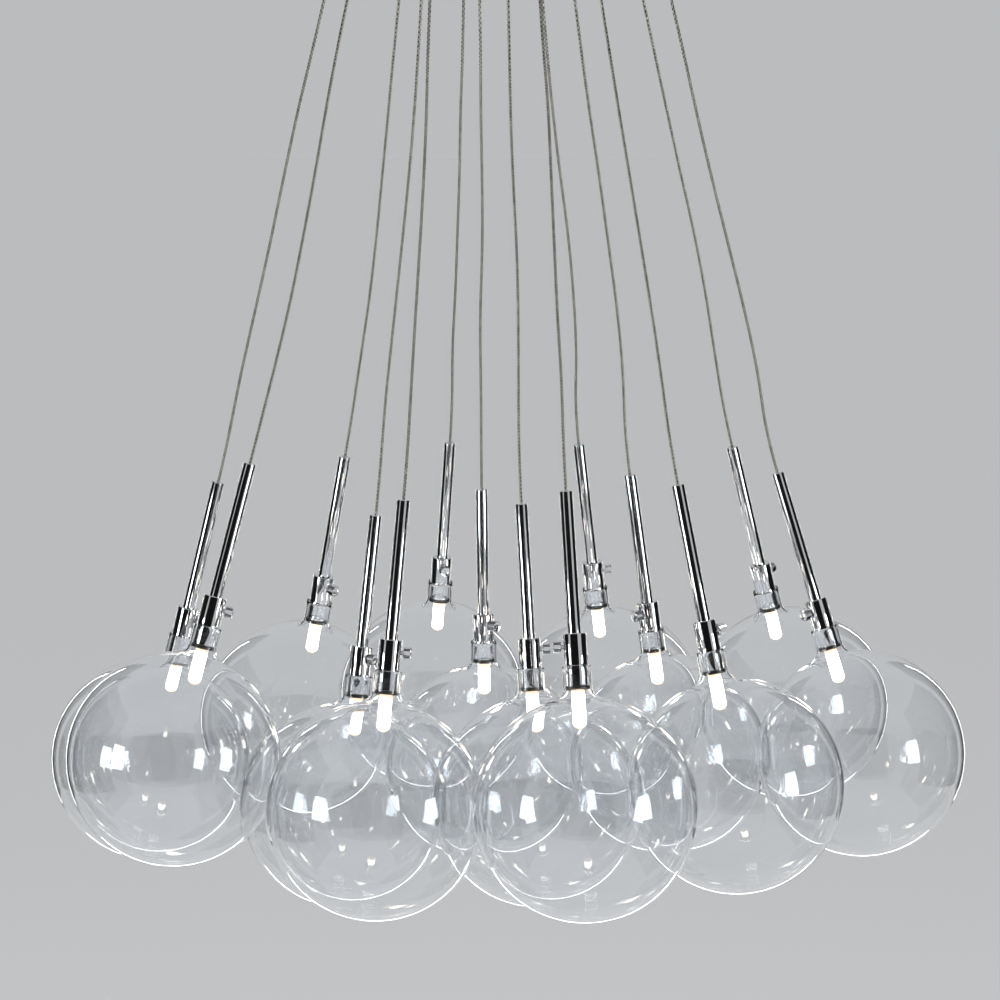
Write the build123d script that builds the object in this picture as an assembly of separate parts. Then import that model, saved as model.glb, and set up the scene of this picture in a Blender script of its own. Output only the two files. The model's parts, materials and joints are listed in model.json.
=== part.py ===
from build123d import *
import math
import os

# Cluster pendant: fourteen clear blown globes crowd together under one round ceiling canopy.
# Each globe hangs from a chrome stem on a thin braided cable, and leans outwards in the cluster.
# Millimetres, +Z up. The origin is the centre of the canopy's ceiling face.

# ---------------------------------------------------------------- driving dimensions

# globe: a thin blown sphere with a cut neck
globe_radius = 80.0          # outside of the sphere
glass_wall = 1.5
neck_radius = 10.5           # outside of the neck
neck_flare = 9.0             # hollow curve from the neck into the sphere
neck_straight = 14.7         # from the flare up to the cut rim

# holder: a stem, a collar that sits on the neck's rim, and the lamp holder inside the neck
stem_radius = 4.8
stem_length = 102.0          # seen above the collar
stem_edge = 0.8
collar_radius = 8.6
collar_height = 22.8
collar_roof = 14.0           # the collar's thick top, which the stem passes through
collar_edge = 0.6
sleeve_radius = 7.8          # lamp holder's barrel
sleeve_reach = 17.3          # below the neck's rim
bead_height = 3.0            # rounded bead that centres the holder in the neck
bead_clearance = 0.3
slip = 0.05                  # clearance all round in the fixed fits

# thumb screw that locks the collar on the stem
screw_drop = 8.8             # its axis below the collar's top
screw_radius = 2.0
screw_standoff = 1.8         # bare shank between collar and head
head_radius = 4.5
head_groove = 0.4            # depth of the grip grooves
head_length = 4.8
head_ridges = 12

# plug-in capsule lamp
lamp_radius = 4.7
lamp_reach = 27.2            # seen below the lamp holder
lamp_recess = 2.5            # depth of the holder's mouth round the lamp
recess_radius = 5.6
pin_radius = 0.5
pin_spacing = 4.0
pin_length = 7.0
pin_clearance = 0.1

# cable
cable_radius = 1.1
cable_seat = 3.0             # depth of the stem's blind bore
cable_clearance = 0.1        # all round in that bore, and under the cable's end
cable_stub = 30.0            # first stretch above the stem, in line with it
arc_share = 0.45             # of the shorter run, for each bend's tangent length

# canopy: a drawn dish that hides the ceiling plate, the lamp driver and the wiring
canopy_radius = 165.0
canopy_depth = 46.0
canopy_wall = 1.2
canopy_corner = 7.0          # outside radius between skirt and face
canopy_screw_level = 12.0    # side screws below the ceiling
canopy_screw_radius = 2.0
canopy_screw_head = 4.5
canopy_screw_grip = 4.0      # head length
canopy_screw_length = 8.0
canopy_screw_angles = (45, 135, 225, 315)

# ceiling plate: a steel disc with four bent tabs behind the canopy's side screws
plate_thickness = 2.0
plate_clearance = 0.4        # between the tabs and the canopy's skirt
tab_width = 22.0
tab_depth = 18.0             # below the ceiling
plate_bolt_circle = 240.0
plate_bolt_radius = 3.25
plate_bolts = 4
supply_radius = 12.0         # hole for the supply cable

# cable glands through the canopy's face
gland_reach = 8.0            # below the face
gland_top_radius = 8.0
gland_flange = 1.5           # straight rim under the face
gland_mouth_radius = 5.2
gland_bore = 3.0             # bell in which the cable can swing
gland_bell_edge = 0.8
gland_thread_radius = 4.0
gland_thread_length = 6.0    # above the face's inside
gland_wire_radius = 1.3      # wire hole above the bell
cable_entry = 2.0            # cable's end above the gland's mouth
cable_end_gap = 0.9          # from that end to the bell's roof
nut_flats = 12.0
nut_height = 3.0

# lamp driver and terminal block on the ceiling plate
driver_size = (150.0, 46.0, 28.0)
driver_edge = 3.0
driver_place = (0.0, 62.0)
terminal_size = (36.0, 20.0, 15.0)
terminal_place = (0.0, -48.0)
terminal_ways = 3
terminal_screw_radius = 2.2
terminal_screw_depth = 4.0

# the nest of globes
globe_gap = 2.0              # least gap between two globes
nest_drop = 650.0            # its middle below the ceiling

# Each drop: its globe's centre in globe pitches from the nest's middle, the stem's lean (dx and dy
# for each step up), its gland in canopy radii, the thumb screw's heading in degrees, and the cable's
# points from the stem up to the gland (x and y in globe pitches, level as a share of the nest's drop).
DROPS = {
    1: dict(globe=(-1.685, .093, -.031), lean=(.244, -.028), gland=(-.800, .042), screw=0,
            way=[(-1.247, .043, .546), (-1.173, .037, .468), (-1.099, .037, .388),
                 (-1.031, .031, .309), (-.963, .037, .231), (-.883, .043, .151)]),
    2: dict(globe=(-1.494, -.883, .154), lean=(.259, .130), gland=(-.673, -.394), screw=-5,
            way=[(-1.025, -.636, .509), (-.957, -.586, .437), (-.901, -.537, .365),
                 (-.846, -.500, .291), (-.796, -.469, .218), (-.741, -.432, .146)]),
    3: dict(globe=(-1.019, .883, .031), lean=(.183, -.173), gland=(-.473, .400), screw=-40,
            way=[(-.691, .580, .534), (-.642, .543, .457), (-.605, .519, .380),
                 (-.574, .500, .303), (-.543, .475, .226), (-.512, .444, .149)]),
    4: dict(globe=(-.741, -.179, -.204), lean=(.107, .061), gland=(-.358, -.079), screw=-40,
            way=[(-.549, -.068, .575), (-.512, -.062, .492), (-.475, -.062, .408),
                 (-.438, -.068, .323), (-.407, -.080, .240), (-.383, -.086, .155)]),
    5: dict(globe=(-.556, -1.278, -.006), lean=(.089, .165), gland=(-.309, -.576), screw=-5,
            way=[(-.401, -.938, .537), (-.383, -.864, .460), (-.364, -.802, .382),
                 (-.346, -.747, .305), (-.333, -.698, .228), (-.327, -.642, .149)]),
    6: dict(globe=(-.358, 1.772, .006), lean=(.071, -.201), gland=(-.176, .806), screw=-75,
            way=[(-.247, 1.364, .535), (-.228, 1.259, .458), (-.216, 1.160, .382),
                 (-.204, 1.068, .305), (-.198, .981, .226), (-.185, .901, .149)]),
    7: dict(globe=(-.074, .623, -.154), lean=(-.012, -.078), gland=(-.097, .285), screw=-45,
            way=[(-.093, .481, .563), (-.099, .451, .482), (-.086, .426, .400),
                 (-.086, .395, .318), (-.093, .358, .235), (-.093, .315, .154)]),
    8: dict(globe=(.179, -.568, -.111), lean=(-.057, .117), gland=(.036, -.255), screw=0,
            way=[(.086, -.370, .555), (.086, -.358, .475), (.080, -.340, .395),
                 (.062, -.315, .314), (.049, -.290, .234), (.043, -.265, .152)]),
    9: dict(globe=(.370, -1.698, .086), lean=(-.059, .231), gland=(.170, -.764), screw=180,
            way=[(.272, -1.247, .520), (.253, -1.154, .446), (.241, -1.068, .371),
                 (.228, -.981, .297), (.216, -.914, .222), (.191, -.846, .148)]),
    10: dict(globe=(.562, 1.377, .025), lean=(-.116, -.159), gland=(.200, .624), screw=5,
             way=[(.389, 1.049, .531), (.370, .975, .454), (.340, .895, .378),
                  (.296, .821, .302), (.259, .753, .225), (.228, .685, .149)]),
    11: dict(globe=(.821, .198, -.031), lean=(-.140, -.043), gland=(.339, .091), screw=-140,
             way=[(.593, .130, .540), (.562, .130, .462), (.519, .130, .385),
                  (.475, .136, .306), (.426, .123, .228), (.383, .105, .151)]),
    12: dict(globe=(1.074, -.988, .049), lean=(-.194, .103), gland=(.442, -.442), screw=25,
             way=[(.735, -.759, .526), (.691, -.704, .451), (.642, -.642, .375),
                  (.593, -.593, .300), (.543, -.549, .225), (.494, -.494, .148)]),
    13: dict(globe=(1.488, .932, .093), lean=(-.247, -.173), gland=(.667, .424), screw=50,
             way=[(1.062, .623, .525), (1.012, .580, .449), (.951, .549, .374),
                  (.877, .519, .298), (.809, .500, .223), (.741, .469, .148)]),
    14: dict(globe=(1.722, -.228, .056), lean=(-.302, .074), gland=(.770, -.103), screw=-150,
             way=[(1.222, -.111, .532), (1.154, -.105, .457), (1.074, -.117, .380),
                  (.994, -.123, .303), (.920, -.130, .226), (.852, -.117, .149)]),
}

# ---------------------------------------------------------------- worked-out sizes

# levels along a drop's own axis, from the globe's centre
flare_level = math.sqrt((globe_radius + neck_flare) ** 2 - (neck_radius + neck_flare) ** 2)
rim_level = flare_level + neck_straight
collar_top = rim_level + collar_height
stem_foot = collar_top - collar_roof
stem_top = collar_top + stem_length
sleeve_bottom = rim_level - sleeve_reach
screw_level = collar_top - screw_drop
cable_foot = stem_top - cable_seat + cable_clearance

neck_bore = neck_radius - glass_wall
face_level = -canopy_depth                       # the canopy's outside face
gland_mouth = face_level - gland_reach
cable_head = gland_mouth + cable_entry
globe_pitch = 2 * globe_radius + globe_gap       # centre distance of touching neighbours


def revolved(profile):
    """A solid of revolution round Z from a closed profile drawn in the XZ plane."""
    return revolve(make_face(profile), Axis.Z, 360)


def turned(corners):
    """A solid of revolution round Z through straight (radius, height) corners."""
    return revolved(Polyline(*[(r, 0, z) for r, z in corners], close=True))


def rod(radius, low, high):
    """A round bar on Z between two heights."""
    return Pos(0, 0, low) * Cylinder(radius, high - low, align=(Align.CENTER, Align.CENTER, Align.MIN))


# ---------------------------------------------------------------- one drop, about its globe's centre

def blown_profile(radius, throat, flare, rim):
    """Line and arcs from the pole under the sphere up to the neck's rim, at one face of the glass."""
    reach = radius + flare
    tangent = Vector(throat + flare, 0, flare_level) * (radius / reach)
    foot = (0, 0, -radius)
    waist = (radius, 0, 0)
    ball = ThreePointArc(foot, waist, tangent)
    lean = math.atan2(flare_level, throat + flare)
    middle = (lean + math.pi) / 2 + math.pi / 2
    hollow_middle = (throat + flare + flare * math.cos(middle), 0, flare_level + flare * math.sin(middle))
    hollow = ThreePointArc(tangent, hollow_middle, (throat, 0, flare_level))
    return ball + hollow + Line((throat, 0, flare_level), (throat, 0, rim))


def globe():
    """Blown shell: both faces share the flare's centre, so the wall is even all over."""
    outside = blown_profile(globe_radius, neck_radius, neck_flare, rim_level)
    inside = blown_profile(globe_radius - glass_wall, neck_bore, neck_flare + glass_wall, rim_level)
    rim = Line((neck_radius, 0, rim_level), (neck_bore, 0, rim_level))
    pole = Line((0, 0, glass_wall - globe_radius), (0, 0, -globe_radius))
    return revolved(outside + rim + inside + pole)


def stem():
    """Bar from inside the collar to the cable, with a blind bore for the cable's end."""
    bar = rod(stem_radius, stem_foot, stem_top)
    bar = fillet(bar.edges().group_by(Axis.Z)[-1], min(stem_edge, stem_radius / 4))
    return bar - rod(cable_radius + cable_clearance, stem_top - cable_seat, stem_top + 1)


def holder():
    """Collar that rests on the glass rim, with the lamp holder's barrel below it in the neck.

    A bead near the barrel's foot centres it in the glass. The stem enters from above, the lamp and
    its pins from below, and the thumb screw from the side.
    """
    bead = neck_bore - bead_clearance
    lip = (bead - sleeve_radius) / 2
    body = turned([(0, sleeve_bottom), (sleeve_radius, sleeve_bottom),
                   (bead, sleeve_bottom + lip), (bead, sleeve_bottom + bead_height),
                   (sleeve_radius, sleeve_bottom + bead_height + lip), (sleeve_radius, rim_level),
                   (collar_radius, rim_level), (collar_radius, collar_top - collar_edge),
                   (collar_radius - collar_edge, collar_top), (0, collar_top)])
    body -= rod(stem_radius + slip, stem_foot, collar_top + 1)
    body -= rod(recess_radius, sleeve_bottom - 1, sleeve_bottom + lamp_recess)
    for side in (-1, 1):
        hole = rod(pin_radius + pin_clearance, sleeve_bottom, sleeve_bottom + lamp_recess + pin_length + 1)
        body -= Pos(side * pin_spacing / 2, 0, 0) * hole
    return body - across(rod(screw_radius + slip, stem_radius, collar_radius + 1))


def thumb_screw():
    """Knurled screw through the collar's side, its tip on the stem."""
    head_start = collar_radius + screw_standoff
    shank = rod(screw_radius, stem_radius + slip, head_start)
    grip = []
    for step in range(2 * head_ridges):
        radius = head_radius - head_groove * (step % 2)
        angle = math.pi * step / head_ridges
        grip.append((radius * math.cos(angle), radius * math.sin(angle)))
    head = extrude(Plane.XY.offset(head_start) * make_face(Polyline(*grip, close=True)), head_length)
    return across(shank + head)


def across(shape):
    """Turn a shape drawn round Z so that it points along +X at the thumb screw's level."""
    return Pos(0, 0, screw_level) * Rot(0, 90, 0) * shape


def lamp():
    """Capsule lamp: a round-nosed glass body with two pins."""
    seat = sleeve_bottom + lamp_recess
    nose = sleeve_bottom - lamp_reach
    body = rod(lamp_radius, nose, seat)
    body = fillet(body.edges().group_by(Axis.Z)[0], lamp_radius * 0.8)
    for side in (-1, 1):
        body += Pos(side * pin_spacing / 2, 0, 0) * rod(pin_radius, seat, seat + pin_length)
    return body


# ---------------------------------------------------------------- placing the drops

def globe_centre(drop):
    """The nest grows with the globes, so that neighbours keep their gap."""
    return Vector(*drop["globe"]) * globe_pitch - Vector(0, 0, nest_drop)


def gland_centre(drop):
    """Plan of a drop's gland on the canopy."""
    x, y = drop["gland"]
    return x * canopy_radius, y * canopy_radius


def drop_frame(drop):
    """Frame on the globe's centre: Z up the leaning stem, X level with the thumb screw's heading."""
    axis = Vector(*drop["lean"], 1).normalized()
    heading = Vector(1, 0, 0).rotate(Axis.Z, drop["screw"])
    across_axis = (heading - axis * heading.dot(axis)).normalized()
    return Plane(origin=globe_centre(drop), x_dir=across_axis, z_dir=axis)


def cable_route(drop):
    """The cable's points, from its end in the stem to its end in the gland."""
    frame = drop_frame(drop)
    foot = frame.origin + frame.z_dir * cable_foot
    stub = frame.origin + frame.z_dir * (stem_top + cable_stub)
    way = [Vector(x * globe_pitch, y * globe_pitch, -level * nest_drop) for x, y, level in drop["way"]]
    return [foot, stub] + way + [Vector(*gland_centre(drop), cable_head)]


def bend_radii(points):
    """Each bend's radius: its tangent length is a set share of the shorter run beside it."""
    radii = []
    for before, corner, after in zip(points, points[1:], points[2:]):
        first, second = corner - before, after - corner
        half_turn = math.radians(first.get_angle(second) / 2)
        radii.append(arc_share * min(first.length, second.length) / math.tan(half_turn))
    return radii


def cable(number, drop):
    """Round cable along straight runs joined by tangent arcs."""
    points = cable_route(drop)
    radii = bend_radii(points)
    path = FilletPolyline(*points, radius=radii)
    section = Plane(origin=points[0], z_dir=points[1] - points[0]) * Circle(cable_radius)
    tube = sweep(section, path=path)
    share = tube.volume / (math.pi * cable_radius ** 2 * path.length)
    print(f"cable {number}: {path.length:.0f} mm, least bend radius {min(radii):.0f} mm,"
          f" volume {share:.4f} of section times length")
    return tube


# ---------------------------------------------------------------- canopy

def at_angle(angle, shape):
    """Turn a shape that points along +X to a compass angle round the canopy."""
    return Rot(0, 0, angle) * shape


def side_hole(radius, inner, outer):
    """A round bar along +X at the level of the canopy's side screws."""
    bar = Cylinder(radius, outer - inner, align=(Align.CENTER, Align.CENTER, Align.MIN))
    return Pos(inner, 0, -canopy_screw_level) * Rot(0, 90, 0) * bar


def canopy_dish():
    """Drawn dish with a rolled corner, gland holes in its face and screw holes in its skirt."""
    shell = rod(canopy_radius, face_level, 0)
    shell = fillet(shell.edges().group_by(Axis.Z)[0], canopy_corner)
    hollow = rod(canopy_radius - canopy_wall, face_level + canopy_wall, 1)
    hollow = fillet(hollow.edges().group_by(Axis.Z)[0], canopy_corner - canopy_wall)
    shell -= hollow
    for drop in DROPS.values():
        hole = rod(gland_thread_radius + slip, face_level - 1, face_level + canopy_wall + 1)
        shell -= Pos(*gland_centre(drop), 0) * hole
    hole = side_hole(canopy_screw_radius + slip, canopy_radius - 2 * canopy_wall, canopy_radius + 1)
    for angle in canopy_screw_angles:
        shell -= at_angle(angle, hole)
    return shell


def canopy_screw():
    """Round-headed grip screw through the skirt into the plate's tab."""
    head = side_hole(canopy_screw_head, canopy_radius, canopy_radius + canopy_screw_grip)
    head = fillet(head.edges().group_by(Axis.X)[-1], canopy_screw_grip / 4)
    return head + side_hole(canopy_screw_radius, canopy_radius - canopy_screw_length, canopy_radius)


def ceiling_plate():
    """Disc against the ceiling with four tabs bent down behind the side screws."""
    tab_outside = canopy_radius - canopy_wall - plate_clearance
    plate = rod(tab_outside - canopy_corner, -plate_thickness, 0)
    for angle in canopy_screw_angles:
        tab = Pos(tab_outside - plate_thickness / 2, 0, -tab_depth / 2) * Box(
            plate_thickness, tab_width, tab_depth)
        foot = Pos(tab_outside - tab_width / 2, 0, -plate_thickness / 2) * Box(
            tab_width, tab_width, plate_thickness)
        plate += at_angle(angle, tab + foot)
    tapped = side_hole(canopy_screw_radius + slip, tab_outside - 2 * plate_thickness, tab_outside + 1)
    for angle in canopy_screw_angles:
        plate -= at_angle(angle, tapped)
    for step in range(plate_bolts):
        bolt = Pos(plate_bolt_circle / 2, 0, 0) * rod(plate_bolt_radius, -plate_thickness - 1, 1)
        plate -= at_angle(360 / plate_bolts * step, bolt)
    return plate - rod(supply_radius, -plate_thickness - 1, 1)


def gland():
    """Cable gland with its nut: a tapered nose under the face, a neck through it and a bell for the cable."""
    inside = face_level + canopy_wall
    nose = turned([(0, gland_mouth), (gland_mouth_radius, gland_mouth),
                   (gland_top_radius, face_level - gland_flange), (gland_top_radius, face_level),
                   (gland_thread_radius, face_level),
                   (gland_thread_radius, inside + gland_thread_length), (0, inside + gland_thread_length)])
    hexagon = Plane.XY.offset(inside) * RegularPolygon(nut_flats / 2, 6, major_radius=False)
    nose += extrude(hexagon, nut_height)
    nose -= rod(gland_bore, gland_mouth - 1, cable_head + cable_end_gap)
    nose -= rod(gland_wire_radius, gland_mouth, inside + gland_thread_length + 1)
    mouth = nose.edges().filter_by(GeomType.CIRCLE).group_by(Axis.Z)[0].sort_by(SortBy.RADIUS)[0]
    return fillet(mouth, gland_bell_edge)


def plate_box(size, place, edge):
    """A closed housing under the ceiling plate, with rounded upright edges."""
    length, width, height = size
    box = Pos(*place, -plate_thickness - height / 2) * Box(length, width, height)
    return fillet(box.edges().filter_by(Axis.Z), edge)


def terminal_block():
    """Screw terminal with one round clamp well for each wire."""
    block = plate_box(terminal_size, terminal_place, terminal_size[1] / 10)
    low = -plate_thickness - terminal_size[2]
    pitch = terminal_size[0] / terminal_ways
    for way in range(terminal_ways):
        x = terminal_place[0] + (way - (terminal_ways - 1) / 2) * pitch
        block -= Pos(x, terminal_place[1], 0) * rod(terminal_screw_radius, low - 1, low + terminal_screw_depth)
    return block


# ---------------------------------------------------------------- the nodes

def save(name, *solids):
    """Write one node, with its solids in one file."""
    shape = solids[0] if len(solids) == 1 else Compound(children=list(solids))
    shape.label = name
    export_step(shape, f"parts/{name}.step")


def solid(shape):
    """The one solid of a shape."""
    return shape.solids()[0]


def main():
    os.makedirs("parts", exist_ok=True)
    fixed = [solid(piece) for piece in (stem(), holder(), thumb_screw())]
    glass, bulb, one_gland = solid(globe()), solid(lamp()), solid(gland())
    fittings = []
    for number, drop in DROPS.items():
        place = drop_frame(drop).location
        save(f"globe_{number:02d}", place * glass)
        save(f"lamp_{number:02d}", place * bulb)
        save(f"stem_{number:02d}", *[place * piece for piece in fixed])
        save(f"cable_{number:02d}", solid(cable(number, drop)))
        fittings.append(Pos(*gland_centre(drop), 0) * one_gland)
    for angle in canopy_screw_angles:
        fittings.append(solid(at_angle(angle, canopy_screw())))
    save("canopy_fittings", *fittings)
    save("canopy_cover", solid(canopy_dish()))
    save("ceiling_plate", solid(ceiling_plate()))
    driver = solid(plate_box(driver_size, driver_place, driver_edge))
    save("lamp_driver", driver, solid(terminal_block()))


main()
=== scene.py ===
import json
import math

import bpy
from mathutils import Matrix, Vector

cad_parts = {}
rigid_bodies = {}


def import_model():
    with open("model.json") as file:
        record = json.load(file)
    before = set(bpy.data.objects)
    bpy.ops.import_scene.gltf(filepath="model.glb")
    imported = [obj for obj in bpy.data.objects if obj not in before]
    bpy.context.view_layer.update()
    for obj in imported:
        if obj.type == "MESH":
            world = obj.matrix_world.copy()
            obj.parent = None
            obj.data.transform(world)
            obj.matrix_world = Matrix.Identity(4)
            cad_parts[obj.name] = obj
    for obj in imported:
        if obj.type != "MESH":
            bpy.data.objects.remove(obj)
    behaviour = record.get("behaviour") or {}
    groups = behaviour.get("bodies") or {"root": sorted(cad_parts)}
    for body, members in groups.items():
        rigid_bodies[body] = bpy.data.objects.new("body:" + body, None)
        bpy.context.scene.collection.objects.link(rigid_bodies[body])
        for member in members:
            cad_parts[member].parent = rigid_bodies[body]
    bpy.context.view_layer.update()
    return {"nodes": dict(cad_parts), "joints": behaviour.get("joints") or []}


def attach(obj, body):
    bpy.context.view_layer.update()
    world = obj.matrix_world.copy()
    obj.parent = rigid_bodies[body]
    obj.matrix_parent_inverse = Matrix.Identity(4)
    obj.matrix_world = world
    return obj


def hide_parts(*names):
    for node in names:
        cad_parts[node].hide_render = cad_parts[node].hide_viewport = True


# Cluster pendant: clear blown globes on braided cables and chrome stems under one canopy.
# Metres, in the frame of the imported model: the origin is the centre of the canopy's ceiling face.

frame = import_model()

MM = 0.001

# ---------------------------------------------------------------- sizes of one drop

GLOBE_RADIUS = 80 * MM
GLASS_WALL = 1.5 * MM
NECK_RADIUS = 10.5 * MM
NECK_FLARE = 9 * MM
NECK_STRAIGHT = 14.7 * MM
STEM_RADIUS = 4.8 * MM
STEM_LENGTH = 102 * MM
COLLAR_RADIUS = 8.6 * MM
COLLAR_HEIGHT = 22.8 * MM
COLLAR_ROOF = 14 * MM
SLEEVE_RADIUS = 7.8 * MM
SLEEVE_REACH = 17.3 * MM
BEAD_RADIUS = 8.7 * MM
BEAD_HEIGHT = 3 * MM
MOUTH_RADIUS = 5.6 * MM
MOUTH_DEPTH = 2.5 * MM
SCREW_DROP = 8.8 * MM
SCREW_RADIUS = 2 * MM
SCREW_STANDOFF = 1.8 * MM
HEAD_RADIUS = 4.5 * MM
HEAD_LENGTH = 4.8 * MM
LAMP_RADIUS = 4.7 * MM
LAMP_REACH = 27.2 * MM
PIN_RADIUS = 0.5 * MM
PIN_SPACING = 4 * MM
PIN_LENGTH = 7 * MM
CABLE_RADIUS = 1.1 * MM
CABLE_BORE = 1.2 * MM
CABLE_SEAT = 3 * MM
CABLE_PLAY = 0.1 * MM         # between the cable's end and the bottom of its bore
CABLE_STUB = 30 * MM
STRAND_TURNS = 150           # turns of each strand over a cable's length

# levels along a drop's own axis, from the globe's centre
FLARE_LEVEL = math.sqrt((GLOBE_RADIUS + NECK_FLARE) ** 2 - (NECK_RADIUS + NECK_FLARE) ** 2)
RIM = FLARE_LEVEL + NECK_STRAIGHT
COLLAR_TOP = RIM + COLLAR_HEIGHT
STEM_FOOT = COLLAR_TOP - COLLAR_ROOF
STEM_TOP = COLLAR_TOP + STEM_LENGTH
SLEEVE_BOTTOM = RIM - SLEEVE_REACH

# canopy and what goes through it
CANOPY_RADIUS = 165 * MM
CANOPY_DEPTH = 46 * MM
CANOPY_WALL = 1.2 * MM
CANOPY_CORNER = 7 * MM
SIDE_SCREW_LEVEL = -12 * MM
SIDE_SCREW_RADIUS = 4.5 * MM
SIDE_SCREW_GRIP = 4 * MM
SIDE_SCREW_ANGLES = (45, 135, 225, 315)
GLAND_REACH = 8 * MM
GLAND_TOP_RADIUS = 8 * MM
GLAND_MOUTH_RADIUS = 5.2 * MM
GLAND_BORE = 3 * MM
GLAND_THREAD_RADIUS = 4 * MM
GLAND_THREAD_LENGTH = 6 * MM
NUT_FLATS = 12 * MM
NUT_HEIGHT = 3 * MM
CABLE_HEAD = -CANOPY_DEPTH - GLAND_REACH + 2 * MM

# rounded edges, grooves and dished faces
RIM_ROUND = 0.35 * MM
FLARE_STEPS = 8
NECK_STEPS = 4
STEM_ROUND = 0.8 * MM
COLLAR_ROUND = 0.6 * MM
COLLAR_PLAY = 0.05 * MM      # between the collar's mouth and the holder in it
GROOVE_LOW = 1.1 * MM        # the collar's groove, above the glass rim
GROOVE_HIGH = 1.6 * MM
GROOVE_WAIST = 0.975         # share of the collar's radius
SLEEVE_ROUND = 0.4 * MM
BEAD_ROUND = 0.9 * MM
MOUTH_TAPER = 0.96
HEAD_VALLEY = 0.92           # radius between the screw's ridges, as a share of the head's
HEAD_EDGE = 0.45 * MM
HEAD_CROWN = 0.3 * MM
DISH_MARGIN = 1.1 * MM
DISH_DEPTH = 0.5 * MM
DOME_HEIGHT = 4.4 * MM
DOME_SWEEP = 0.94            # share of a quarter turn, which leaves the seal's flat tip
DOME_STEPS = 8
GLOW_DROP = 2 * MM           # of the filament below the capsule's middle
PIN_ROUND = 0.2 * MM
GLAND_LAND = 0.5 * MM
GLAND_FLANGE = 1.5 * MM
GLAND_LIP = 0.7 * MM
LIP_SWELL = 0.2 * MM
BELL_DEPTH = 0.8 * MM
BORE_DEPTH = 2.3 * MM
THREAD_TURNS = 4
THREAD_RISE = 0.3 * MM
THREAD_CREST = 0.95
NUT_CHAMFER = 0.35 * MM
GRIP_VALLEY = 0.95
GRIP_EDGE = 0.8 * MM
GRIP_DISH = 0.4 * MM

# how the drops are spread out
GLOBE_PITCH = 162 * MM
NEST_DROP = 650 * MM

# Each drop: the thumb screw's heading in degrees, its gland in canopy radii, and the cable's points
# from the gland down to the stem (x and y in globe pitches, level as a share of the nest's drop).
DROPS = {
    1: (0, (-.800, .042),
        [(-.883, .043, .151), (-.963, .037, .231), (-1.031, .031, .309),
         (-1.099, .037, .388), (-1.173, .037, .468), (-1.247, .043, .546)]),
    2: (-5, (-.673, -.394),
        [(-.741, -.432, .146), (-.796, -.469, .218), (-.846, -.500, .291),
         (-.901, -.537, .365), (-.957, -.586, .437), (-1.025, -.636, .509)]),
    3: (-40, (-.473, .400),
        [(-.512, .444, .149), (-.543, .475, .226), (-.574, .500, .303),
         (-.605, .519, .380), (-.642, .543, .457), (-.691, .580, .534)]),
    4: (-40, (-.358, -.079),
        [(-.383, -.086, .155), (-.407, -.080, .240), (-.438, -.068, .323),
         (-.475, -.062, .408), (-.512, -.062, .492), (-.549, -.068, .575)]),
    5: (-5, (-.309, -.576),
        [(-.327, -.642, .149), (-.333, -.698, .228), (-.346, -.747, .305),
         (-.364, -.802, .382), (-.383, -.864, .460), (-.401, -.938, .537)]),
    6: (-75, (-.176, .806),
        [(-.185, .901, .149), (-.198, .981, .226), (-.204, 1.068, .305),
         (-.216, 1.160, .382), (-.228, 1.259, .458), (-.247, 1.364, .535)]),
    7: (-45, (-.097, .285),
        [(-.093, .315, .154), (-.093, .358, .235), (-.086, .395, .318),
         (-.086, .426, .400), (-.099, .451, .482), (-.093, .481, .563)]),
    8: (0, (.036, -.255),
        [(.043, -.265, .152), (.049, -.290, .234), (.062, -.315, .314),
         (.080, -.340, .395), (.086, -.358, .475), (.086, -.370, .555)]),
    9: (180, (.170, -.764),
        [(.191, -.846, .148), (.216, -.914, .222), (.228, -.981, .297),
         (.241, -1.068, .371), (.253, -1.154, .446), (.272, -1.247, .520)]),
    10: (5, (.200, .624),
         [(.228, .685, .149), (.259, .753, .225), (.296, .821, .302),
          (.340, .895, .378), (.370, .975, .454), (.389, 1.049, .531)]),
    11: (-140, (.339, .091),
         [(.383, .105, .151), (.426, .123, .228), (.475, .136, .306),
          (.519, .130, .385), (.562, .130, .462), (.593, .130, .540)]),
    12: (25, (.442, -.442),
         [(.494, -.494, .148), (.543, -.549, .225), (.593, -.593, .300),
          (.642, -.642, .375), (.691, -.704, .451), (.735, -.759, .526)]),
    13: (50, (.667, .424),
         [(.741, .469, .148), (.809, .500, .223), (.877, .519, .298),
          (.951, .549, .374), (1.012, .580, .449), (1.062, .623, .525)]),
    14: (-150, (.770, -.103),
         [(.852, -.117, .149), (.920, -.130, .226), (.994, -.123, .303),
          (1.074, -.117, .380), (1.154, -.105, .457), (1.222, -.111, .532)]),
}


# ---------------------------------------------------------------- materials

def new_material(name):
    """A material with its node tree and its shader."""
    material = bpy.data.materials.new(name)
    material.use_nodes = True
    tree = material.node_tree
    shader = tree.nodes["Principled BSDF"]
    return material, tree, shader


def add_node(tree, kind, inputs=None, **settings):
    """One node with its settings and the given input values or links."""
    node = tree.nodes.new(kind)
    for key, value in settings.items():
        setattr(node, key, value)
    for key, value in (inputs or {}).items():
        if isinstance(value, bpy.types.NodeSocket):
            tree.links.new(value, node.inputs[key])
        else:
            node.inputs[key].default_value = value
    return node


def object_noise(tree, scale, detail=2.0, stretch=(1, 1, 1)):
    """Noise on the object's own coordinates; stretch draws it out along an axis."""
    place = add_node(tree, "ShaderNodeTexCoord")
    spread = add_node(tree, "ShaderNodeMapping",
                      {"Vector": place.outputs["Object"], "Scale": stretch})
    return add_node(tree, "ShaderNodeTexNoise",
                    {"Vector": spread.outputs[0], "Scale": scale, "Detail": detail})


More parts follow.
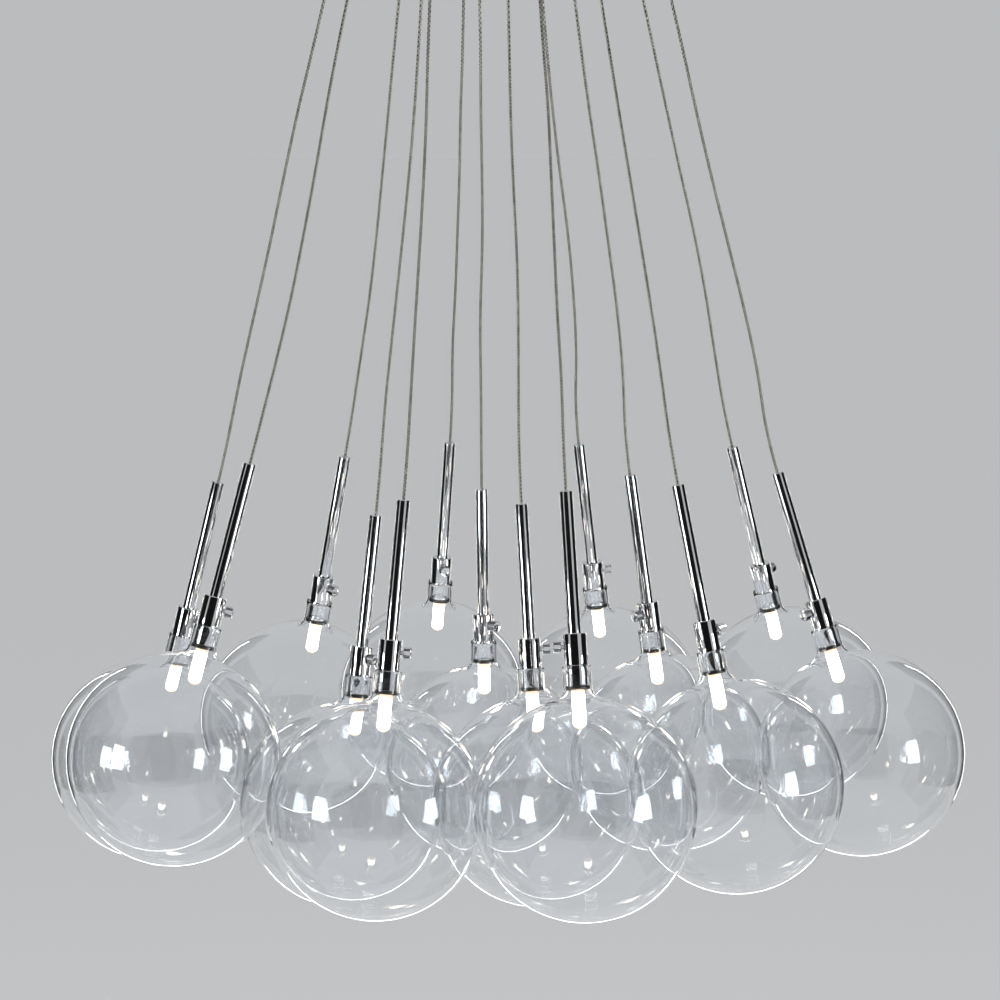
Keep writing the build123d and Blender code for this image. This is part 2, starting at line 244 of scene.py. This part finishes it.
def ramp_between(tree, factor, low, high):
    """Map a 0 to 1 factor onto a range of values."""
    return add_node(tree, "ShaderNodeMapRange",
                    {"Value": factor, "To Min": low, "To Max": high}).outputs["Result"]


# places of the colour sockets on a mix node, which repeats their names for numbers and vectors
FIRST_COLOUR, SECOND_COLOUR, MIXED_COLOUR = 6, 7, 2


def blend_base(tree, shader, factor, first, second):
    """Base colour that wanders between two as a 0 to 1 factor does."""
    mix = add_node(tree, "ShaderNodeMix",
                   {"Factor": factor, FIRST_COLOUR: (*first, 1), SECOND_COLOUR: (*second, 1)},
                   data_type="RGBA")
    tree.links.new(mix.outputs[MIXED_COLOUR], shader.inputs["Base Color"])


def add_bump(tree, shader, height, strength, distance):
    """Raise and sink the surface a little, as a height does."""
    bump = add_node(tree, "ShaderNodeBump",
                    {"Height": height, "Strength": strength, "Distance": distance})
    tree.links.new(bump.outputs["Normal"], shader.inputs["Normal"])


def blown_glass():
    """Clear thin glass with the faint ripple of blown work and a trace of haze."""
    material, tree, shader = new_material("clear_blown_glass")
    shader.inputs["Base Color"].default_value = (0.985, 0.992, 1.0, 1)
    shader.inputs["Transmission Weight"].default_value = 1.0
    shader.inputs["IOR"].default_value = 1.5
    haze = object_noise(tree, 35, 3)
    tree.links.new(ramp_between(tree, haze.outputs["Fac"], 0.0, 0.012), shader.inputs["Roughness"])
    ripple = object_noise(tree, 14, 1)
    add_bump(tree, shader, ripple.outputs["Fac"], 0.25, 0.0006)
    return material


def polished_chrome():
    """Mirror chrome with hairline polish marks and faint finger smears."""
    material, tree, shader = new_material("polished_chrome")
    shader.inputs["Metallic"].default_value = 1.0
    shader.inputs["IOR"].default_value = 2.2
    smear = object_noise(tree, 60, 4)
    blend_base(tree, shader, smear.outputs["Fac"], (0.86, 0.86, 0.8729), (0.8084, 0.8084, 0.817))
    tree.links.new(ramp_between(tree, smear.outputs["Fac"], 0.02, 0.09), shader.inputs["Roughness"])
    hairline = object_noise(tree, 900, 2, (1, 1, 0.04))
    add_bump(tree, shader, hairline.outputs["Fac"], 0.08, 0.00005)
    return material


def lamp_glow():
    """Lit capsule: white-hot round the filament, dimmer and browner by the pins and the nose."""
    material, tree, shader = new_material("lit_capsule")
    along = add_node(tree, "ShaderNodeAttribute", attribute_name="filament_glow")
    ramp = add_node(tree, "ShaderNodeValToRGB", {"Fac": along.outputs["Fac"]})
    ends, middle = ramp.color_ramp.elements
    ends.position, ends.color = 0.25, (0.018, 0.0115, 0.0065, 1)
    middle.position, middle.color = 0.95, (1.0, 0.93, 0.82, 1)
    warm = ramp.color_ramp.elements.new(0.5)
    warm.color = (0.045, 0.033, 0.022, 1)
    shader.inputs["Base Color"].default_value = (1.0, 0.96, 0.9, 1)
    shader.inputs["Roughness"].default_value = 0.12
    tree.links.new(ramp.outputs["Color"], shader.inputs["Emission Color"])
    shader.inputs["Emission Strength"].default_value = 45.0
    return material


def braided_metal():
    """Fine crossing strands round the cable, on its own UV map: U runs along it, V round it."""
    material, tree, shader = new_material("braided_cable")
    place = add_node(tree, "ShaderNodeTexCoord")
    split = add_node(tree, "ShaderNodeSeparateXYZ", {"Vector": place.outputs["UV"]})
    along = add_node(tree, "ShaderNodeMath", {0: split.outputs["X"], 1: STRAND_TURNS * 2 * math.pi},
                     operation="MULTIPLY")
    strands = []
    for way in (-1, 1):
        lay = add_node(tree, "ShaderNodeMath", {0: split.outputs["Y"], 1: way * 4 * math.pi},
                       operation="MULTIPLY")
        phase = add_node(tree, "ShaderNodeMath", {0: along.outputs[0], 1: lay.outputs[0]})
        strands.append(add_node(tree, "ShaderNodeMath", {0: phase.outputs[0]}, operation="SINE"))
    crossing = add_node(tree, "ShaderNodeMath", {0: strands[0].outputs[0], 1: strands[1].outputs[0]},
                        operation="MAXIMUM")
    wear = object_noise(tree, 260, 3)
    both = add_node(tree, "ShaderNodeMath", {0: crossing.outputs[0], 1: 0.42, 2: wear.outputs["Fac"]},
                    operation="MULTIPLY_ADD")
    # Partly painted shade: the ramp darkens the sunken gaps between the strands and lightens the
    # strand tops, while the noise adds a random wear tone.
    ramp = add_node(tree, "ShaderNodeValToRGB", {"Fac": both.outputs[0]})
    ramp.color_ramp.elements[0].position = 0.2
    ramp.color_ramp.elements[0].color = (0.045, 0.043, 0.038, 1)
    ramp.color_ramp.elements[1].position = 0.95
    ramp.color_ramp.elements[1].color = (0.50, 0.475, 0.41, 1)
    tree.links.new(ramp.outputs["Color"], shader.inputs["Base Color"])
    shader.inputs["Metallic"].default_value = 0.8
    shader.inputs["Roughness"].default_value = 0.36
    add_bump(tree, shader, both.outputs[0], 0.7, 0.00025)
    return material


def dark_ceramic():
    """Sooty heatproof ring at the lamp holder's mouth."""
    material, tree, shader = new_material("dark_ceramic")
    grain = object_noise(tree, 800, 3)
    blend_base(tree, shader, grain.outputs["Fac"], (0.02, 0.019, 0.018), (0.07, 0.06, 0.05))
    shader.inputs["Roughness"].default_value = 0.38
    return material


def zinc_plate():
    """Dull plated steel with a mottled bloom."""
    material, tree, shader = new_material("plated_steel")
    bloom = object_noise(tree, 45, 5)
    blend_base(tree, shader, bloom.outputs["Fac"], (0.46, 0.46, 0.47), (0.66, 0.66, 0.65))
    shader.inputs["Metallic"].default_value = 1.0
    tree.links.new(ramp_between(tree, bloom.outputs["Fac"], 0.3, 0.5), shader.inputs["Roughness"])
    return material


def moulded_plastic():
    """Off-white moulded housing with a fine spark-eroded grain."""
    material, tree, shader = new_material("driver_plastic")
    grain = object_noise(tree, 1500, 2)
    blend_base(tree, shader, grain.outputs["Fac"], (0.74, 0.74, 0.71), (0.82, 0.82, 0.79))
    shader.inputs["Roughness"].default_value = 0.55
    add_bump(tree, shader, grain.outputs["Fac"], 0.2, 0.0001)
    return material


GLASS = blown_glass()
CHROME = polished_chrome()
GLOW = lamp_glow()
BRAID = braided_metal()
CERAMIC = dark_ceramic()
ZINC = zinc_plate()
PLASTIC = moulded_plastic()


# ---------------------------------------------------------------- modelling by hand

def deselect():
    """Let go of every object, so that an operator works on the new one alone."""
    bpy.ops.object.select_all(action="DESELECT")


def start_cylinder(name, radius, low, high, sides, at=(0, 0)):
    """A capped cylinder round an upright axis, left in edit mode."""
    deselect()
    bpy.ops.mesh.primitive_cylinder_add(vertices=sides, radius=radius, depth=high - low,
                                        location=(at[0], at[1], (low + high) / 2))
    piece = bpy.context.object
    piece.name = name
    bpy.ops.object.transform_apply(location=True, rotation=True, scale=True)
    bpy.ops.object.mode_set(mode="EDIT")
    return piece


def pick_faces(piece, test):
    """Select the faces whose centre and normal pass a test, in edit mode."""
    bpy.ops.mesh.select_mode(type="FACE")
    bpy.ops.mesh.select_all(action="DESELECT")
    bpy.ops.object.mode_set(mode="OBJECT")
    for face in piece.data.polygons:
        face.select = test(face.center, face.normal)
    bpy.ops.object.mode_set(mode="EDIT")


def pick_points(piece, test):
    """Select the edges and faces whose corners all pass a test, in edit mode."""
    bpy.ops.mesh.select_mode(type="VERT")
    bpy.ops.mesh.select_all(action="DESELECT")
    bpy.ops.object.mode_set(mode="OBJECT")
    for point in piece.data.vertices:
        point.select = test(point.co)
    bpy.ops.object.mode_set(mode="EDIT")
    bpy.ops.mesh.select_mode(type="EDGE")


def pick_end(piece, level):
    """Select the flat end at a level."""
    pick_faces(piece, lambda centre, normal: abs(centre.z - level) < 1e-6 and abs(normal.z) > 0.9)


def round_end(piece, level, width, steps=3):
    """Round over the outer edge of the flat end at a level."""
    pick_end(piece, level)
    bpy.ops.mesh.region_to_loop()
    bpy.ops.mesh.bevel(offset=width, segments=steps, profile=0.5)


def step_to(height, factor):
    """Extrude the selection by a height and scale it about the upright axis."""
    bpy.ops.mesh.extrude_region_move(TRANSFORM_OT_translate={"value": (0, 0, height)})
    bpy.ops.transform.resize(value=(factor, factor, 1), center_override=(0, 0, 0))


def ridge_sides(piece, valley):
    """Draw in every second pair of a cylinder's corners to a share of its radius, in edit mode."""
    bpy.ops.object.mode_set(mode="OBJECT")
    for index, point in enumerate(piece.data.vertices):
        if index // 2 % 2:
            point.co.x *= valley
            point.co.y *= valley
    bpy.ops.object.mode_set(mode="EDIT")


def finish_piece(piece, material, angle=35):
    """Leave edit mode, tidy the mesh, turn its faces outwards and give it its finish."""
    bpy.ops.mesh.select_all(action="SELECT")
    bpy.ops.mesh.remove_doubles(threshold=1e-7)
    bpy.ops.mesh.normals_make_consistent(inside=False)
    bpy.ops.object.mode_set(mode="OBJECT")
    bpy.ops.object.shade_smooth_by_angle(angle=math.radians(angle))
    piece.data.materials.clear()
    piece.data.materials.append(material)
    return piece


def make_globe():
    """Blown sphere opened at the top, its edge drawn up through a hollow flare into the neck."""
    deselect()
    bpy.ops.mesh.primitive_uv_sphere_add(segments=96, ring_count=64, radius=GLOBE_RADIUS)
    piece = bpy.context.object
    bpy.ops.object.mode_set(mode="EDIT")
    bpy.ops.mesh.select_all(action="SELECT")
    centre = NECK_RADIUS + NECK_FLARE
    share = GLOBE_RADIUS / (GLOBE_RADIUS + NECK_FLARE)
    radius, level = centre * share, FLARE_LEVEL * share
    bpy.ops.mesh.bisect(plane_co=(0, 0, level), plane_no=(0, 0, 1), clear_outer=True)
    pick_points(piece, lambda point: abs(point.z - level) < 1e-6)
    start = math.atan2(FLARE_LEVEL, centre)
    for step in range(1, FLARE_STEPS + 1):
        turn = math.pi + start - start * step / FLARE_STEPS
        new_radius = centre + NECK_FLARE * math.cos(turn)
        new_level = FLARE_LEVEL + NECK_FLARE * math.sin(turn)
        step_to(new_level - level, new_radius / radius)
        radius, level = new_radius, new_level
    for _ in range(NECK_STEPS):
        step_to(NECK_STRAIGHT / NECK_STEPS, 1)
    finish_piece(piece, GLASS, 180)
    wall = piece.modifiers.new("wall", "SOLIDIFY")
    wall.thickness = GLASS_WALL
    wall.offset = -1
    wall.use_even_offset = True
    bpy.ops.object.modifier_apply(modifier="wall")
    rim = piece.modifiers.new("rim", "BEVEL")
    rim.width = RIM_ROUND
    rim.segments = 3
    rim.limit_method = "ANGLE"
    rim.angle_limit = math.radians(60)
    bpy.ops.object.modifier_apply(modifier="rim")
    bpy.ops.object.shade_smooth()
    return piece


def make_stem():
    """Polished tube with a rounded top and the blind bore for the cable."""
    piece = start_cylinder("stem", STEM_RADIUS, STEM_FOOT, STEM_TOP, sides=48)
    round_end(piece, STEM_TOP, STEM_ROUND)
    pick_end(piece, STEM_TOP)
    bpy.ops.mesh.inset(thickness=STEM_RADIUS - STEM_ROUND - CABLE_BORE)
    step_to(-CABLE_SEAT, 1)
    return finish_piece(piece, CHROME)


def make_collar():
    """Cup with a softened shoulder, a groove line at its foot and an open mouth below."""
    piece = start_cylinder("collar", COLLAR_RADIUS, RIM, COLLAR_TOP, sides=64)
    round_end(piece, COLLAR_TOP, COLLAR_ROUND)
    pick_end(piece, RIM)
    bpy.ops.mesh.inset(thickness=COLLAR_RADIUS - SLEEVE_RADIUS - COLLAR_PLAY)
    step_to(COLLAR_HEIGHT - COLLAR_ROOF, 1)
    for height in (GROOVE_LOW, GROOVE_HIGH):
        bpy.ops.mesh.select_all(action="SELECT")
        bpy.ops.mesh.bisect(plane_co=(0, 0, RIM + height), plane_no=(0, 0, 1))
    pick_faces(piece, lambda centre, normal: RIM + GROOVE_LOW < centre.z < RIM + GROOVE_HIGH
               and Vector((centre.x, centre.y)).length > COLLAR_RADIUS * 0.97)
    bpy.ops.transform.resize(value=(GROOVE_WAIST, GROOVE_WAIST, 1), center_override=(0, 0, 0))
    return finish_piece(piece, CHROME)


def make_sleeve():
    """Lamp holder's barrel, which goes down inside the glass neck."""
    low = SLEEVE_BOTTOM + BEAD_HEIGHT
    piece = start_cylinder("holder", SLEEVE_RADIUS, low, STEM_FOOT, sides=56)
    round_end(piece, low, SLEEVE_ROUND, steps=2)
    return finish_piece(piece, CHROME)


def make_bead():
    """Dark heatproof ring round the holder's mouth."""
    low, high = SLEEVE_BOTTOM, SLEEVE_BOTTOM + BEAD_HEIGHT
    piece = start_cylinder("bead", BEAD_RADIUS, low, high, sides=56)
    pick_end(piece, low)
    bpy.ops.mesh.inset(thickness=BEAD_RADIUS - MOUTH_RADIUS)
    step_to(MOUTH_DEPTH, MOUTH_TAPER)
    for level in (low, high):
        pick_points(piece, lambda point: abs(point.z - level) < 1e-6
                    and Vector((point.x, point.y)).length > BEAD_RADIUS * 0.98)
        bpy.ops.mesh.bevel(offset=BEAD_ROUND, segments=4, profile=0.5)
    return finish_piece(piece, CERAMIC)


def lay_across(piece, place):
    """Turn a piece drawn round the upright axis to point along +X, and move it to its place."""
    piece.data.transform(Matrix.Translation(place) @ Matrix.Rotation(math.pi / 2, 4, "Y"))


def make_screw():
    """Knurled thumb screw: a ridged head with rounded ends and a dished face, on a bare shank."""
    start = COLLAR_RADIUS + SCREW_STANDOFF
    end = start + HEAD_LENGTH
    piece = start_cylinder("screw", HEAD_RADIUS, start, end, sides=48)
    ridge_sides(piece, HEAD_VALLEY)
    for level, way in ((start, -1), (end, 1)):
        pick_end(piece, level)
        bpy.ops.mesh.inset(thickness=HEAD_EDGE)
        bpy.ops.transform.translate(value=(0, 0, HEAD_CROWN * way))
    pick_end(piece, end + HEAD_CROWN)
    bpy.ops.mesh.inset(thickness=DISH_MARGIN)
    bpy.ops.transform.translate(value=(0, 0, -DISH_DEPTH))
    pick_end(piece, start - HEAD_CROWN)
    bpy.ops.mesh.inset(thickness=HEAD_RADIUS * (1 + HEAD_VALLEY) / 2 - HEAD_EDGE - SCREW_RADIUS)
    step_to(STEM_RADIUS - start + HEAD_CROWN, 1)
    finish_piece(piece, CHROME, 25)
    lay_across(piece, (0, 0, COLLAR_TOP - SCREW_DROP))
    return piece


def make_lamp():
    """Capsule lamp: a glass body drawn in to a rounded nose, with the tip of its seal."""
    seat = SLEEVE_BOTTOM + MOUTH_DEPTH
    nose = SLEEVE_BOTTOM - LAMP_REACH
    piece = start_cylinder("capsule", LAMP_RADIUS, nose + DOME_HEIGHT, seat, sides=40)
    pick_end(piece, nose + DOME_HEIGHT)
    radius, depth = LAMP_RADIUS, 0.0
    for step in range(1, DOME_STEPS + 1):
        angle = math.pi / 2 * step / DOME_STEPS * DOME_SWEEP
        new_radius = LAMP_RADIUS * math.cos(angle)
        new_depth = DOME_HEIGHT * math.sin(angle)
        step_to(depth - new_depth, new_radius / radius)
        radius, depth = new_radius, new_depth
    for share in (0.25, 0.5, 0.75):
        bpy.ops.mesh.select_all(action="SELECT")
        bpy.ops.mesh.bisect(plane_co=(0, 0, seat + (nose - seat) * share), plane_no=(0, 0, 1))
    finish_piece(piece, GLOW, 60)
    glow = piece.data.attributes.new("filament_glow", "FLOAT", "POINT")
    filament, reach = (seat + nose) / 2 - GLOW_DROP, (seat - nose) / 2
    for index, point in enumerate(piece.data.vertices):
        glow.data[index].value = max(0.0, 1 - (abs(point.co.z - filament) / reach) ** 2)
    return piece


def make_pins():
    """The lamp's two plug-in pins."""
    seat = SLEEVE_BOTTOM + MOUTH_DEPTH
    pins = []
    for side in (-1, 1):
        pin = start_cylinder("pin", PIN_RADIUS, seat, seat + PIN_LENGTH, sides=16,
                             at=(side * PIN_SPACING / 2, 0))
        round_end(pin, seat + PIN_LENGTH, PIN_ROUND, steps=2)
        pins.append(finish_piece(pin, CHROME))
    deselect()
    for pin in pins:
        pin.select_set(True)
    bpy.context.view_layer.objects.active = pins[0]
    bpy.ops.object.join()
    return pins[0]


def make_gland():
    """Tapered nose with a bell-mouthed bore, a flange and the threaded neck above it."""
    mouth = -CANOPY_DEPTH - GLAND_REACH
    shoulder = mouth + GLAND_LAND
    flange = -CANOPY_DEPTH - GLAND_FLANGE
    piece = start_cylinder("gland", GLAND_MOUTH_RADIUS, mouth, shoulder, sides=40)
    pick_end(piece, shoulder)
    step_to(flange - shoulder, GLAND_TOP_RADIUS / GLAND_MOUTH_RADIUS)
    step_to(GLAND_FLANGE, 1)
    bpy.ops.mesh.inset(thickness=GLAND_TOP_RADIUS - GLAND_THREAD_RADIUS)
    step_to(CANOPY_WALL + NUT_HEIGHT, 1)
    for _ in range(THREAD_TURNS):
        step_to(THREAD_RISE, THREAD_CREST)
        step_to(THREAD_RISE, 1 / THREAD_CREST)
    step_to(GLAND_THREAD_LENGTH - NUT_HEIGHT - 2 * THREAD_TURNS * THREAD_RISE, 1)
    pick_end(piece, mouth)
    bpy.ops.mesh.inset(thickness=GLAND_LIP)
    bpy.ops.transform.translate(value=(0, 0, -LIP_SWELL))
    bpy.ops.mesh.inset(thickness=GLAND_MOUTH_RADIUS - GLAND_BORE - 2 * GLAND_LIP)
    bpy.ops.mesh.inset(thickness=GLAND_LIP)
    bpy.ops.transform.translate(value=(0, 0, BELL_DEPTH))
    step_to(BORE_DEPTH, 1)
    return finish_piece(piece, CHROME)


def make_nut():
    """Hexagon nut with a chamfered top."""
    low = -CANOPY_DEPTH + CANOPY_WALL
    corner = NUT_FLATS / math.sqrt(3)
    land = NUT_FLATS / 2 - GLAND_THREAD_RADIUS
    piece = start_cylinder("nut", corner, low, low + NUT_HEIGHT, sides=6)
    pick_end(piece, low + NUT_HEIGHT)
    bpy.ops.mesh.inset(thickness=land * 0.35)
    bpy.ops.transform.translate(value=(0, 0, NUT_CHAMFER))
    bpy.ops.mesh.inset(thickness=land * 0.4)
    return finish_piece(piece, ZINC, 20)


def make_canopy():
    """Drawn dish, open above: a rolled corner below and a thin wall all round."""
    piece = start_cylinder("canopy", CANOPY_RADIUS, -CANOPY_DEPTH, 0, sides=160)
    round_end(piece, -CANOPY_DEPTH, CANOPY_CORNER, steps=8)
    pick_end(piece, 0)
    bpy.ops.mesh.inset(thickness=CANOPY_WALL)
    step_to(-(CANOPY_DEPTH - CANOPY_WALL), 1)
    pick_end(piece, -CANOPY_DEPTH + CANOPY_WALL)
    bpy.ops.mesh.region_to_loop()
    bpy.ops.mesh.bevel(offset=CANOPY_CORNER - CANOPY_WALL, segments=6, profile=0.5)
    return finish_piece(piece, CHROME, 40)


def make_side_screw():
    """Round grip screw that stands out of the canopy's skirt, drawn round Z and laid along +X."""
    piece = start_cylinder("side_screw", SIDE_SCREW_RADIUS, 0, SIDE_SCREW_GRIP, sides=40)
    ridge_sides(piece, GRIP_VALLEY)
    pick_end(piece, SIDE_SCREW_GRIP)
    bpy.ops.mesh.inset(thickness=GRIP_EDGE)
    bpy.ops.mesh.inset(thickness=GRIP_EDGE)
    bpy.ops.transform.translate(value=(0, 0, -GRIP_DISH))
    finish_piece(piece, CHROME, 25)
    lay_across(piece, (CANOPY_RADIUS, 0, SIDE_SCREW_LEVEL))
    return piece


# ---------------------------------------------------------------- placing

def placed(model, name, matrix, body, slot, *nodes):
    """A copy of a model with its own mesh, moved to its place, riding on a body."""
    piece = model.copy()
    piece.data = model.data.copy()
    piece.name = piece.data.name = name
    bpy.context.scene.collection.objects.link(piece)
    piece.data.transform(matrix)
    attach(piece, body)
    if nodes:
        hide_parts(*nodes)
    return piece


def drop_matrix(joint, heading):
    """Frame on a globe's centre: Z up the leaning stem, X level with the thumb screw."""
    axis = Vector(joint["axis"]).normalized()
    centre = Vector(joint["pos_m"]) - axis * STEM_TOP
    level = Vector((math.cos(math.radians(heading)), math.sin(math.radians(heading)), 0))
    side = (level - axis * level.dot(axis)).normalized()
    forward = axis.cross(side)
    turn = Matrix((side, forward, axis)).transposed().to_4x4()
    return Matrix.Translation(centre) @ turn


def make_cable(number, joint, gland, way, body):
    """Braided cable from its gland to the stem, on one smooth curve."""
    axis = Vector(joint["axis"]).normalized()
    top = Vector(joint["pos_m"])
    route = [Vector((*gland, CABLE_HEAD))]
    route += [Vector((x * GLOBE_PITCH, y * GLOBE_PITCH, -level * NEST_DROP)) for x, y, level in way]
    route += [top + axis * CABLE_STUB, top - axis * (CABLE_SEAT - CABLE_PLAY)]
    curve = bpy.data.curves.new(f"cable_{number:02d}_braid", "CURVE")
    curve.dimensions = "3D"
    curve.bevel_depth = CABLE_RADIUS
    curve.bevel_resolution = 3
    curve.resolution_u = 10
    curve.use_fill_caps = True
    spline = curve.splines.new("NURBS")
    spline.points.add(len(route) - 1)
    for point, place in zip(spline.points, route):
        point.co = (*place, 1)
    spline.order_u = 3
    spline.use_endpoint_u = True
    piece = bpy.data.objects.new(f"braided_cable_{number:02d}", curve)
    bpy.context.scene.collection.objects.link(piece)
    curve.materials.append(BRAID)
    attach(piece, body)
    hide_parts(f"cable_{number:02d}")


turning = {joint["name"]: joint for joint in frame["joints"] if joint["name"].startswith("turn_")}
models = {
    "glass_globe": (make_globe(), "clear_glass", "globe"),
    "capsule_lamp": (make_lamp(), "lamp_glass", "lamp"),
    "lamp_pins": (make_pins(), "lamp_glass", "lamp"),
    "stem_tube": (make_stem(), "polished_chrome", "stem"),
    "collar": (make_collar(), "polished_chrome", "stem"),
    "lamp_holder": (make_sleeve(), "polished_chrome", "stem"),
    "holder_ring": (make_bead(), "polished_chrome", "stem"),
    "thumb_screw": (make_screw(), "polished_chrome", "stem"),
}
gland_model, nut_model = make_gland(), make_nut()

for number, (heading, gland_share, way) in DROPS.items():
    joint = turning[f"turn_{number:02d}"]
    matrix = drop_matrix(joint, heading)
    for kind, (model, slot, node) in models.items():
        placed(model, f"{kind}_{number:02d}", matrix, joint["child"], slot, f"{node}_{number:02d}")
    gland = [share * CANOPY_RADIUS for share in gland_share]
    make_cable(number, joint, gland, way, joint["parent"])
    at_gland = Matrix.Translation((*gland, 0))
    for kind, model in (("cable_gland", gland_model), ("lock_nut", nut_model)):
        placed(model, f"{kind}_{number:02d}", at_gland, "root", "polished_chrome", "canopy_fittings")

canopy_model, side_screw_model = make_canopy(), make_side_screw()
placed(canopy_model, "canopy_dish", Matrix.Identity(4), "root", "polished_chrome", "canopy_cover")
for index, angle in enumerate(SIDE_SCREW_ANGLES, 1):
    placed(side_screw_model, f"side_screw_{index}", Matrix.Rotation(math.radians(angle), 4, "Z"),
           "root", "polished_chrome", "canopy_fittings")

used_up = [model for model, slot, node in models.values()]
used_up += [gland_model, nut_model, canopy_model, side_screw_model]
for model in used_up:
    bpy.data.objects.remove(model)

for name, material in (("ceiling_plate", ZINC), ("lamp_driver", PLASTIC)):
    node = frame["nodes"][name]
    node.data.materials.clear()
    node.data.materials.append(material)


# ---------------------------------------------------------------- floor, light and camera

SIDES = ((-1, "left"), (1, "right"))
FLOOR_LEVEL = -1.75
FLOOR_COLOUR = (0.62, 0.63, 0.64, 1)
LIGHT_LEVEL = 0.80           # of the surround, as it lights the object
SEEN_COLOUR = tuple(LIGHT_LEVEL * part for part in FLOOR_COLOUR[:3]) + (1,)
AIM = (0, 0, -0.6)           # the middle of the globes
VIEW_PLACE = (0, -2.709, -0.132)
VIEW_TILT = 6.66             # degrees below level
LENS = 126.4
SENSOR = 36


def make_floor():
    """Wide pale floor well below the globes."""
    deselect()
    bpy.ops.mesh.primitive_plane_add(size=160, location=(0, 0, FLOOR_LEVEL))
    floor = bpy.context.object
    floor.name = "floor"
    material, tree, shader = new_material("pale_floor")
    shader.inputs["Base Color"].default_value = FLOOR_COLOUR
    shader.inputs["Roughness"].default_value = 0.9
    shader.inputs["Specular IOR Level"].default_value = 0.1
    floor.data.materials.append(material)


def make_world():
    """Even surround: it lights at one level, and shows as the far floor in view, mirrors and glass."""
    world = bpy.data.worlds.new("surround")
    world.use_nodes = True
    bpy.context.scene.world = world
    tree = world.node_tree
    background = tree.nodes["Background"]
    background.inputs["Color"].default_value = (LIGHT_LEVEL, LIGHT_LEVEL, LIGHT_LEVEL, 1)
    seen = add_node(tree, "ShaderNodeBackground", {"Color": SEEN_COLOUR, "Strength": 1.0})
    path = add_node(tree, "ShaderNodeLightPath")
    first = add_node(tree, "ShaderNodeMath", {0: path.outputs["Is Camera Ray"],
                                              1: path.outputs["Is Glossy Ray"]}, operation="MAXIMUM")
    either = add_node(tree, "ShaderNodeMath", {0: first.outputs[0],
                                               1: path.outputs["Is Transmission Ray"]},
                      operation="MAXIMUM")
    mix = add_node(tree, "ShaderNodeMixShader", {0: either.outputs[0]})
    tree.links.new(background.outputs[0], mix.inputs[1])
    tree.links.new(seen.outputs[0], mix.inputs[2])
    tree.links.new(mix.outputs[0], tree.nodes["World Output"].inputs["Surface"])


def soft_box(name, place, size, power, tint=(1, 1, 1), kind="box"):
    """Area light aimed at the middle of the globes: a box lights and is mirrored, also through glass,
    a fill is never mirrored, and a rim is only mirrored."""
    light = bpy.data.lights.new(name, "AREA")
    light.shape = "RECTANGLE"
    light.size, light.size_y = size
    light.energy = power
    light.color = tint
    lamp = bpy.data.objects.new(name, light)
    bpy.context.scene.collection.objects.link(lamp)
    lamp.location = place
    lamp.rotation_mode = "QUATERNION"
    lamp.rotation_quaternion = (Vector(AIM) - Vector(place)).to_track_quat("-Z", "Y")
    lamp.visible_camera = False
    lamp.visible_transmission = kind == "box"
    lamp.visible_glossy = kind != "fill"
    lamp.visible_diffuse = kind != "rim"


def black_card():
    """Black to rays that a mirror or the glass has thrown back, and clear to all others."""
    material, tree, shader = new_material("black_card")
    shader.inputs["Base Color"].default_value = (0.01, 0.01, 0.01, 1)
    shader.inputs["Roughness"].default_value = 0.9
    shader.inputs["Specular IOR Level"].default_value = 0.0
    path = add_node(tree, "ShaderNodeLightPath")
    thrown_back = add_node(tree, "ShaderNodeMath", {0: path.outputs["Glossy Depth"], 1: 0.5},
                           operation="GREATER_THAN")
    clear = add_node(tree, "ShaderNodeBsdfTransparent")
    mix = add_node(tree, "ShaderNodeMixShader", {0: thrown_back.outputs[0], 1: clear.outputs[0],
                                                 2: shader.outputs[0]})
    tree.links.new(mix.outputs[0], tree.nodes["Material Output"].inputs["Surface"])
    return material


def make_flag(name, place, size, turn):
    """Upright black card beside the set, mirrored in chrome and in the edges of the glass."""
    deselect()
    bpy.ops.mesh.primitive_plane_add(size=1, location=(0, 0, 0))
    flag = bpy.context.object
    flag.name = name
    flag.data.transform(Matrix.Translation(place) @ Matrix.Rotation(math.radians(turn), 4, "Z")
                        @ Matrix.Rotation(math.pi / 2, 4, "X") @ Matrix.Diagonal((*size, 1, 1)))
    flag.data.materials.append(BLACK_CARD)
    flag.visible_camera = False
    flag.visible_diffuse = False
    flag.visible_shadow = False


def make_camera():
    """The photograph's view: from near the cables' upper ends, a little downwards, long lens."""
    camera = bpy.data.cameras.new("camera")
    camera.sensor_width = SENSOR
    camera.lens = LENS
    camera.clip_start, camera.clip_end = 0.05, 500
    view = bpy.data.objects.new("camera", camera)
    bpy.context.scene.collection.objects.link(view)
    view.location = VIEW_PLACE
    view.rotation_euler = (math.radians(90 - VIEW_TILT), 0, 0)
    bpy.context.scene.camera = view


BLACK_CARD = black_card()
make_floor()
make_world()
for side, word in SIDES:
    soft_box(f"{word}_box", (side * 2.0, -1.3, -0.35), (0.5, 0.8), power=14, tint=(0.90, 0.96, 1.0))
soft_box("top_box", (0.3, 0.6, 1.6), (1.6, 1.2), power=26, kind="fill")
for side, word in SIDES:
    soft_box(f"{word}_rim", (side * 1.25, 2.1, -0.5), (0.07, 1.9), power=5, kind="rim")
soft_box("low_rim", (0, 1.6, -1.72), (2.2, 0.07), power=5, kind="rim")
make_flag("flag_front", (-0.9, -3.4, 0.1), (5.4, 3.8), turn=0)
for side, word in SIDES:
    make_flag(f"flag_{word}", (side * 2.7, 0.3, 0.1), (3.4, 3.8), turn=side * 90)
    make_flag(f"flag_behind_{word}", (side * 1.9, 2.7, 0.1), (1.2, 3.8), turn=side * -35)
make_camera()

scene = bpy.context.scene
scene.view_settings.view_transform = "Standard"
scene.cycles.max_bounces = 40
scene.cycles.transmission_bounces = 36
scene.cycles.glossy_bounces = 12
scene.cycles.transparent_max_bounces = 32
scene.cycles.caustics_reflective = True
scene.cycles.caustics_refractive = True
